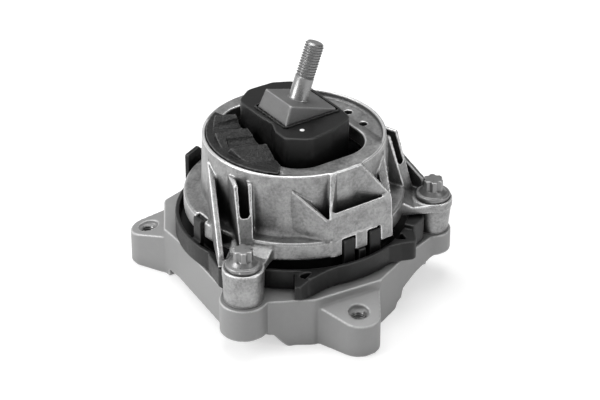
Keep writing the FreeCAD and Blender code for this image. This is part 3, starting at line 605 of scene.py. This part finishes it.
class MOUNT_OT_housing(bpy.types.Operator):
    """Die-cast housing with a soft cast skin"""
    bl_idname = "mount.housing"
    bl_label = "Housing"

    def execute(self, context):
        piece = copy_of("upper_housing", "housing_casting")
        fillings = self.dish_fillings()
        radius = sizes().dish_hole_radius / MM
        for drilled in [piece] + fillings:
            for place in DISH_HOLES:
                drill = round_block("dish_drill", radius, place, PLATE_LOW - 3.0, RIM + 1.0)
                combine(drilled, drill, "DIFFERENCE")
        for outline, low in SLIMMING:
            combine(piece, raised_block("slimming", outline, low, RIM + 2.0), "DIFFERENCE")
        combine(piece, round_bar("rib_edge", *RIB_EDGE, RIB_EDGE_RADIUS), "DIFFERENCE")
        combine(piece, self.web_waste(), "DIFFERENCE")
        left_wing, right_wing = [self.wing_wall(*wing) for wing in WINGS]
        for angle in CORNER_FACETS:
            for cornered in (piece, left_wing):
                combine(cornered, self.corner_waste(math.radians(angle)), "DIFFERENCE")
        put_together(piece, [left_wing, right_wing] + fillings)
        skin(piece, sizes().casting_voxel, smoothing=2, keep=0.4)
        # Painted shade darkens the housing's pockets; its edges are lightened, partly worn, partly painted
        # highlight
        material = surface("Die Cast", colours().housing, metallic=0.75, roughness=0.36,
                           blotch_scale=110.0, blotch_depth=0.42, grain_scale=900.0, grain_height=0.14 * MM,
                           wear_and_highlight=0.95, wear_and_highlight_grey=0.88, wear_and_highlight_start=0.512, wear_and_highlight_end=0.535, painted_shade=1.0,
                           roughness_spread=0.08)
        finish_piece(piece, material, ["upper_housing"])
        return {"FINISHED"}

    def wing_wall(self, outline, climb, top):
        """Wall beside the box whose top climbs from the box's lip to the drum."""
        (start_x, start_y), (end_x, end_y) = climb
        rise = top - BOX_LIP
        run = math.hypot(end_x - start_x, end_y - start_y)
        normal = Vector(((start_x - end_x) * rise / run, (start_y - end_y) * rise / run, run)).normalized()
        wall = raised_block("wing", outline, FLANGE_LOW + 1.0, RIM)
        return trim(wall, (start_x, start_y, BOX_LIP), normal)

    def corner_waste(self, angle):
        """What lies outside one facet of the box's rounded corner."""
        across, along = math.cos(angle), math.sin(angle)
        centre_x, centre_y = CORNER_CENTRE
        place = (centre_x + CORNER_RADIUS * across, centre_y + CORNER_RADIUS * along, BOX_LIP)
        waste = raised_block("corner_waste", CORNER_PLAN, FLANGE_LOW - 1.0, RIM)
        trim(waste, place, Vector((-across, -along, CORNER_SLOPE * along)).normalized())
        return self.kept_off_flange(waste)

    def web_waste(self):
        """Strip that narrows the web beside the front left column."""
        waste = raised_block("web_waste", WEB_CUT, FLANGE_LOW - 0.5, FLANGE_TOP + 0.5)
        column = round_block("column_round", COLUMN_RADIUS, FRONT_COLUMN, FLANGE_LOW - 2.0, FLANGE_TOP + 2.0)
        return self.kept_off_flange(combine(waste, column, "DIFFERENCE"))

    def kept_off_flange(self, waste):
        """What is left of the waste outside the flange and above it."""
        radius = FLANGE_RADIUS + 0.1
        flange = round_block("flange_round", radius, (0.0, 0.0), FLANGE_LOW - 2.0, FLANGE_TOP + 0.1)
        return combine(waste, flange, "DIFFERENCE")

    def dish_fillings(self):
        """Blocks that close the frame's two drain holes, for the skin to be drilled anew."""
        floor, slope = [[(DISH_START_X, DISH_FRONT_Y), (end_x, DISH_FRONT_Y), (end_x, DISH_BACK_Y),
                         (DISH_START_X, DISH_BACK_Y)] for end_x in (DISH_END_X, DISH_FLOOR_X)]
        ramp = raised_block("dish_ramp", slope, PLATE_LOW, RIM)
        normal = Vector((RIM - DISH_FLOOR, 0.0, DISH_FLOOR_X - DISH_START_X)).normalized()
        base = raised_block("dish_floor", floor, PLATE_LOW, DISH_FLOOR)
        return [base, trim(ramp, (DISH_START_X, 0.0, RIM), normal)]


class MOUNT_OT_bracket(bpy.types.Operator):
    """Blasted bracket casting"""
    bl_idname = "mount.bracket"
    bl_label = "Bracket"

    def execute(self, context):
        piece = copy_of("base_bracket", "bracket_casting")
        skin(piece, sizes().casting_voxel, smoothing=4, keep=0.35)
        material = surface("Blasted Aluminium", colours().bracket, metallic=0.35, roughness=0.5,
                           blotch_scale=50.0, blotch_depth=0.05, grain_scale=1500.0, grain_height=0.07 * MM,
                           wear_and_highlight=0.7, wear_and_highlight_grey=0.75, wear_and_highlight_start=0.508, wear_and_highlight_end=0.545, painted_shade=0.2,
                           roughness_spread=0.04)
        finish_piece(piece, material, ["base_bracket"])
        return {"FINISHED"}


class MOUNT_OT_clip_ring(bpy.types.Operator):
    """Black moulded clip ring"""
    bl_idname = "mount.clip_ring"
    bl_label = "Clip Ring"

    def execute(self, context):
        piece = copy_of("clip_ring", "clip_ring_moulding")
        waste = raised_block("ear_waste", EAR_CUT, RING_LOW - 0.5, RING_TOP + 0.5)
        rounding = round_block("ring_round", RING_RADIUS, (0.0, 0.0), RING_LOW - 1.0, RING_TOP + 1.0)
        combine(piece, combine(waste, rounding, "DIFFERENCE"), "DIFFERENCE")
        put_together(piece, [raised_block("ear_flank", EAR_FLANK, RING_LOW + 0.3, RING_TOP - 0.6)])
        skin(piece, sizes().rubber_voxel, smoothing=2, keep=0.4)
        material = surface("Black Plastic", colours().plastic, metallic=0.0, roughness=0.42,
                           blotch_scale=90.0, blotch_depth=0.2, grain_scale=1400.0, grain_height=0.04 * MM,
                           wear_and_highlight=0.6, wear_and_highlight_grey=0.10, wear_and_highlight_start=0.51, wear_and_highlight_end=0.55, specular=0.35)
        finish_piece(piece, material, ["clip_ring"])
        return {"FINISHED"}


class MOUNT_OT_core(bpy.types.Operator):
    """Cast wedge of the core"""
    bl_idname = "mount.core"
    bl_label = "Core"

    def execute(self, context):
        piece = skin(copy_of("core", "core_casting"), sizes().rubber_voxel, smoothing=3, keep=0.6)
        material = surface("Core Casting", colours().core, metallic=0.5, roughness=0.5,
                           blotch_scale=120.0, blotch_depth=0.15, grain_scale=1300.0, grain_height=0.10 * MM,
                           wear_and_highlight=0.6, wear_and_highlight_grey=0.5, wear_and_highlight_start=0.51, wear_and_highlight_end=0.55)
        finish_piece(piece, material, ["core"])
        return {"FINISHED"}


class MOUNT_OT_flash(bpy.types.Operator):
    """Ragged lip of rubber flash round the wedge's foot"""
    bl_idname = "mount.flash"
    bl_label = "Rubber Flash"

    def execute(self, context):
        top = BLOCK_TOP + sizes().flash_height / MM
        lip = raised_block("flash_lip", self.grown(FLASH_OUTER), BLOCK_TOP - FLASH_SEAT, top)
        gap = raised_block("flash_gap", self.grown(FLASH_INNER), BLOCK_TOP - 1.0, top + 1.0)
        combine(lip, gap, "DIFFERENCE")
        skin(lip, sizes().flash_voxel, smoothing=3)
        torn(lip, "Flash Rags", RAG_SIZE, 2, RAG_HEIGHT, 0.6)
        material = surface("Flash Rubber", colours().sleeve, metallic=0.0, roughness=0.45,
                           blotch_scale=200.0, blotch_depth=0.4, grain_scale=1100.0, grain_height=0.05 * MM,
                           wear_and_highlight=0.5, wear_and_highlight_grey=0.12)
        finish_piece(lip, material)
        return {"FINISHED"}

    def grown(self, margin):
        """Outline of the wedge's foot with a margin round it and its corners cut."""
        (left, front), (right, back) = WEDGE_PLAN
        left, front, right, back = left - margin, front - margin, right + margin, back + margin
        cut = margin * 0.9
        return [(left + cut, front), (right - cut, front), (right, front + cut), (right, back - cut),
                (right - cut, back), (left + cut, back), (left, back - cut), (left, front + cut)]


class MOUNT_OT_sleeve(bpy.types.Operator):
    """Rubber stop block with its paint dot"""
    bl_idname = "mount.sleeve"
    bl_label = "Stop Block"

    def execute(self, context):
        piece = skin(copy_of("stop_sleeve", "stop_block"), sizes().rubber_voxel, smoothing=5, keep=0.6)
        material = surface("Stop Rubber", colours().sleeve, metallic=0.0, roughness=0.4,
                           blotch_scale=60.0, blotch_depth=0.25, grain_scale=1100.0, grain_height=0.03 * MM,
                           wear_and_highlight=0.6, wear_and_highlight_grey=0.08, wear_and_highlight_start=0.51, wear_and_highlight_end=0.55, specular=0.35)
        finish_piece(piece, material, ["stop_sleeve"])
        self.add_dot()
        return {"FINISHED"}

    def add_dot(self):
        deselect()
        bpy.ops.mesh.primitive_circle_add(
            vertices=DOT_SIDES, radius=sizes().dot_radius, fill_type="NGON", location=DOT_PLACE)
        dot = bpy.context.active_object
        bpy.ops.object.mode_set(mode="EDIT")
        bpy.ops.mesh.extrude_region_move(TRANSFORM_OT_translate={"value": (0.0, 0.0, DOT_HEIGHT)})
        bpy.ops.mesh.inset(thickness=DOT_EDGE)
        bpy.ops.transform.translate(value=(0.0, 0.0, DOT_CROWN))
        bpy.ops.mesh.select_all(action="SELECT")
        bpy.ops.mesh.normals_make_consistent(inside=False)
        bpy.ops.object.mode_set(mode="OBJECT")
        settle(dot, "paint_dot")
        bpy.ops.object.shade_smooth()
        paint = surface("Dot Paint", grey(0.85), metallic=0.0, roughness=0.5, blotch_scale=300.0,
                        blotch_depth=0.05, grain_scale=2000.0, grain_height=0.01 * MM)
        finish_piece(dot, paint)


class MOUNT_OT_buffer(bpy.types.Operator):
    """Worn, ribbed stop buffer"""
    bl_idname = "mount.buffer"
    bl_label = "Stop Buffer"

    def execute(self, context):
        piece = copy_of("stop_buffer", "stop_buffer_rubber")
        for outer, inner in VALLEYS:
            combine(piece, round_bar("valley_bar", outer, inner, VALLEY_RADIUS), "DIFFERENCE")
        skin(piece, sizes().buffer_voxel, smoothing=2)
        torn(piece, "Buffer Lumps", LUMP_SIZE, 3, LUMP_HEIGHT, 0.62)
        apply_modifier(piece, "DECIMATE", ratio=0.5)
        # Painted shade darkens the buffer's valleys; its crests are lightened, partly worn, partly painted
        # highlight
        material = surface("Worn Rubber", colours().buffer, metallic=0.0, roughness=0.5,
                           blotch_scale=260.0, blotch_depth=0.8, grain_scale=900.0, grain_height=0.45 * MM,
                           wear_and_highlight=0.9, wear_and_highlight_grey=0.11, wear_and_highlight_start=0.503, wear_and_highlight_end=0.545, painted_shade=0.9,
                           roughness_spread=0.18, specular=0.35)
        finish_piece(piece, material, ["stop_buffer"])
        return {"FINISHED"}


class MOUNT_OT_screws(bpy.types.Operator):
    """Flange screws with six-lobed heads"""
    bl_idname = "mount.screws"
    bl_label = "Flange Screws"

    def execute(self, context):
        piece = skin(copy_of("flange_screws", "column_screws"), sizes().screw_voxel, smoothing=2, keep=0.5)
        material = surface("Screw Steel", colours().screw, metallic=0.7, roughness=0.36,
                           blotch_scale=200.0, blotch_depth=0.12, grain_scale=1600.0, grain_height=0.04 * MM,
                           wear_and_highlight=0.8, wear_and_highlight_grey=0.75, wear_and_highlight_start=0.515, wear_and_highlight_end=0.56, painted_shade=0.8)
        finish_piece(piece, material, ["flange_screws"])
        return {"FINISHED"}


class MOUNT_OT_stud(bpy.types.Operator):
    """Threaded stud, its plain shank running into the core"""
    bl_idname = "mount.stud"
    bl_label = "Stud"

    def execute(self, context):
        size = sizes()
        pitch = size.thread_pitch
        radius = size.stud_radius
        crest = radius - 0.05 * MM
        root = crest - size.thread_depth
        plain = size.stud_length - size.thread_length
        stud = self.thread(root, crest, pitch, math.ceil(size.thread_length / pitch) + 3)
        stud.location = (0.0, 0.0, plain - 2.0 * pitch)
        settle(stud, "threaded_stud")
        combine(stud, turned("rod", self.rod_profile(root, crest, plain, size.stud_length)), "INTERSECT")
        combine(stud, turned("shank", self.shank_profile(root, radius, plain)), "UNION")
        stud.rotation_euler = (0.0, STUD_LEAN, 0.0)
        stud.location = STUD_FOOT
        settle(stud, "threaded_stud")
        make_active(stud)
        bpy.ops.object.shade_smooth_by_angle(angle=SHARP_ANGLE)
        material = surface("Bright Zinc", colours().zinc, metallic=0.75, roughness=0.32, blotch_scale=150.0,
                           blotch_depth=0.12, grain_scale=1500.0, grain_height=0.03 * MM)
        finish_piece(stud, material, ["stud"])
        return {"FINISHED"}

    def thread(self, root, crest, pitch, turns):
        """Threaded rod with rounded V grooves, longer than the stud's own thread."""
        profile = [(root, 0.0), (root, pitch * 0.12), (crest, pitch * 0.46), (crest, pitch * 0.60),
                   (root, pitch * 0.94), (root, pitch)]
        return close_up(screwed("threaded_stud", profile, pitch, turns, THREAD_STEPS))

    def rod_profile(self, root, crest, plain, end):
        """What the thread is kept inside: its run-out at the shank and the chamfer at its end."""
        outside = crest + 0.1 * MM
        low, high = plain - THREAD_RUN_OUT, plain + THREAD_RUN_OUT
        return [(0.0, low), (root, low), (outside, high), (outside, end - END_CHAMFER),
                (root - 0.3 * MM, end), (0.0, end)]

    def shank_profile(self, root, radius, plain):
        """Plain shank with the collar at its foot, down into the core."""
        collar = [(radius + out * MM, height * MM) for out, height in COLLAR]
        return [(0.0, -SHANK_DEPTH), (radius, -SHANK_DEPTH), *collar, (radius, plain - 0.6 * MM),
                (root, plain + 0.5 * MM), (0.0, plain + 0.5 * MM)]


class MOUNT_OT_lug_threads(bpy.types.Operator):
    """Tapped threads in the three lug holes"""
    bl_idname = "mount.lug_threads"
    bl_label = "Lug Threads"

    def execute(self, context):
        material = surface("Tapped Thread", colours().bracket, metallic=0.8, roughness=0.35,
                           blotch_scale=200.0, blotch_depth=0.1, grain_scale=1600.0, grain_height=0.02 * MM)
        wall = sizes().lug_thread_radius
        root = wall + LUG_THREAD_SEAT
        crest = wall - LUG_THREAD_DEPTH
        profile = [(root, 0.0), (wall, LUG_PITCH * 0.1), (crest, LUG_PITCH * 0.45), (crest, LUG_PITCH * 0.6),
                   (wall, LUG_PITCH * 0.95), (root, LUG_PITCH)]
        places = {mount["name"]: mount["pos_m"] for mount in frame["record"]["mounts"]}
        for side in ("left", "front", "right"):
            name = "lug_thread_" + side
            piece = screwed(name, profile, LUG_PITCH, LUG_THREAD_TURNS, LUG_THREAD_STEPS)
            make_active(piece)
            bpy.ops.object.mode_set(mode="EDIT")
            merge_doubles()
            bpy.ops.object.mode_set(mode="OBJECT")
            apply_modifier(piece, "SOLIDIFY", thickness=LUG_THREAD_WALL, offset=0.0)
            piece.location = (places[name][0], places[name][1], LUG_THREAD_START)
            settle(piece, name)
            bpy.ops.object.shade_smooth()
            finish_piece(piece, material)
        return {"FINISHED"}


class MOUNT_OT_inner_pieces(bpy.types.Operator):
    """Finishes of the spring and the hydraulic pieces inside"""
    bl_idname = "mount.inner_pieces"
    bl_label = "Inner Pieces"

    def execute(self, context):
        rubber = plain_inner("Spring Rubber", 0.016, metallic=0.0, roughness=0.55)
        steel = plain_inner("Phosphated Steel", 0.3, metallic=0.8, roughness=0.45)
        plastic = plain_inner("Channel Plastic", 0.05, metallic=0.0, roughness=0.5)
        coated = plain_inner("Coated Cup", 0.04, metallic=0.3, roughness=0.4)
        finishes = {"rubber_spring": rubber, "spring_ring": steel, "upper_channel_plate": plastic,
                    "lower_channel_plate": plastic, "decoupler_membrane": rubber, "rolling_diaphragm": rubber,
                    "bottom_cup": coated}
        for node, material in finishes.items():
            mesh = frame["nodes"][node].data
            mesh.materials.clear()
            mesh.materials.append(material)
        return {"FINISHED"}


class MOUNT_OT_stage(bpy.types.Operator):
    """Pale floor, soft lamps and the camera"""
    bl_idname = "mount.stage"
    bl_label = "Stage"

    def execute(self, context):
        self.add_floor()
        self.add_world()
        for lamp in LAMPS:
            self.add_lamp(*lamp)
        self.add_camera()
        bpy.context.scene.view_settings.view_transform = "Standard"
        return {"FINISHED"}

    def add_floor(self):
        """Floor that the camera and reflections see as white, and that keeps the mount's shadow."""
        deselect()
        bpy.ops.mesh.primitive_plane_add(size=FLOOR_SIZE, location=(0.0, 0.0, 0.0))
        floor = bpy.context.active_object
        settle(floor, "floor")
        material = bpy.data.materials.new("Pale Floor")
        material.use_nodes = True
        tree = material.node_tree
        shader = tree.nodes["Principled BSDF"]
        set_values(shader, Base_Color=colours().floor, Roughness=0.9, Specular_IOR_Level=0.1,
                   Emission_Strength=1.0)
        path = tree.nodes.new("ShaderNodeLightPath")
        mirrored = calculated(tree, "MAXIMUM", (path, "Is Glossy Ray"), (path, "Is Transmission Ray"))
        seen = calculated(tree, "MAXIMUM", (path, "Is Camera Ray"), mirrored)
        glow = mixed(tree, seen, grey(0.0), grey(FLOOR_GLOW))
        tree.links.new(glow, shader.inputs["Emission Color"])
        floor.data.materials.append(material)

    def add_world(self):
        """Sky that grows lighter towards its light side."""
        world = bpy.data.worlds.new("Studio")
        bpy.context.scene.world = world
        world.use_nodes = True
        tree = world.node_tree
        background = tree.nodes["Background"]
        place = tree.nodes.new("ShaderNodeTexCoord")
        side = tree.nodes.new("ShaderNodeVectorMath")
        side.operation = "DOT_PRODUCT"
        side.inputs[1].default_value = LIGHT_SIDE
        connect(tree, place, "Generated", side, 0)
        share = tree.nodes.new("ShaderNodeMapRange")
        set_values(share, From_Min=-1.0)
        connect(tree, side, "Value", share, "Value")
        ramp = tree.nodes.new("ShaderNodeValToRGB")
        connect(tree, share, "Result", ramp, "Fac")
        for stop, (position, value) in zip(ramp.color_ramp.elements, SKY_STOPS):
            stop.position = position
            stop.color = grey(value)
        connect(tree, ramp, "Color", background, "Color")
        set_values(background, Strength=1.0)

    def add_lamp(self, name, place, target, width, height, power):
        lamp_data = bpy.data.lights.new(name, "AREA")
        lamp_data.shape = "RECTANGLE"
        lamp_data.size = width
        lamp_data.size_y = height
        lamp_data.energy = power
        lamp = bpy.data.objects.new(name, lamp_data)
        lamp.location = place
        aim = Vector(target) - Vector(place)
        lamp.rotation_euler = aim.to_track_quat("-Z", "Y").to_euler()
        bpy.context.scene.collection.objects.link(lamp)

    def add_camera(self):
        camera_data = bpy.data.cameras.new("Camera")
        camera_data.lens = CAMERA_LENS
        camera_data.sensor_width = CAMERA_SENSOR
        camera_data.clip_start = CAMERA_NEAR
        camera_data.clip_end = CAMERA_FAR
        camera = bpy.data.objects.new("Camera", camera_data)
        camera.location = CAMERA_PLACE
        camera.rotation_euler = CAMERA_TURN
        bpy.context.scene.collection.objects.link(camera)
        bpy.context.scene.camera = camera


class MOUNT_PT_panel(bpy.types.Panel):
    """Lists the steps of the engine mount"""
    bl_idname = "MOUNT_PT_panel"
    bl_label = "Engine Mount"
    bl_space_type = "VIEW_3D"
    bl_region_type = "UI"
    bl_category = "Mount"

    def draw(self, context):
        for step in STEPS:
            self.layout.operator(step.bl_idname)


STEPS = (MOUNT_OT_housing, MOUNT_OT_bracket, MOUNT_OT_clip_ring, MOUNT_OT_core, MOUNT_OT_flash, MOUNT_OT_stud,
         MOUNT_OT_sleeve, MOUNT_OT_buffer, MOUNT_OT_screws, MOUNT_OT_lug_threads, MOUNT_OT_inner_pieces,
         MOUNT_OT_stage)
CLASSES = (MountSizes, MountColours, *STEPS, MOUNT_PT_panel)


def register():
    for kind in CLASSES:
        bpy.utils.register_class(kind)
    bpy.types.Scene.mount_sizes = bpy.props.PointerProperty(type=MountSizes)
    bpy.types.Scene.mount_colours = bpy.props.PointerProperty(type=MountColours)


def unregister():
    del bpy.types.Scene.mount_colours
    del bpy.types.Scene.mount_sizes
    for kind in reversed(CLASSES):
        bpy.utils.unregister_class(kind)


def main():
    register()
    for step in STEPS:
        group, name = step.bl_idname.split(".")
        getattr(getattr(bpy.ops, group), name)()


if __name__ == "__main__":
    main()
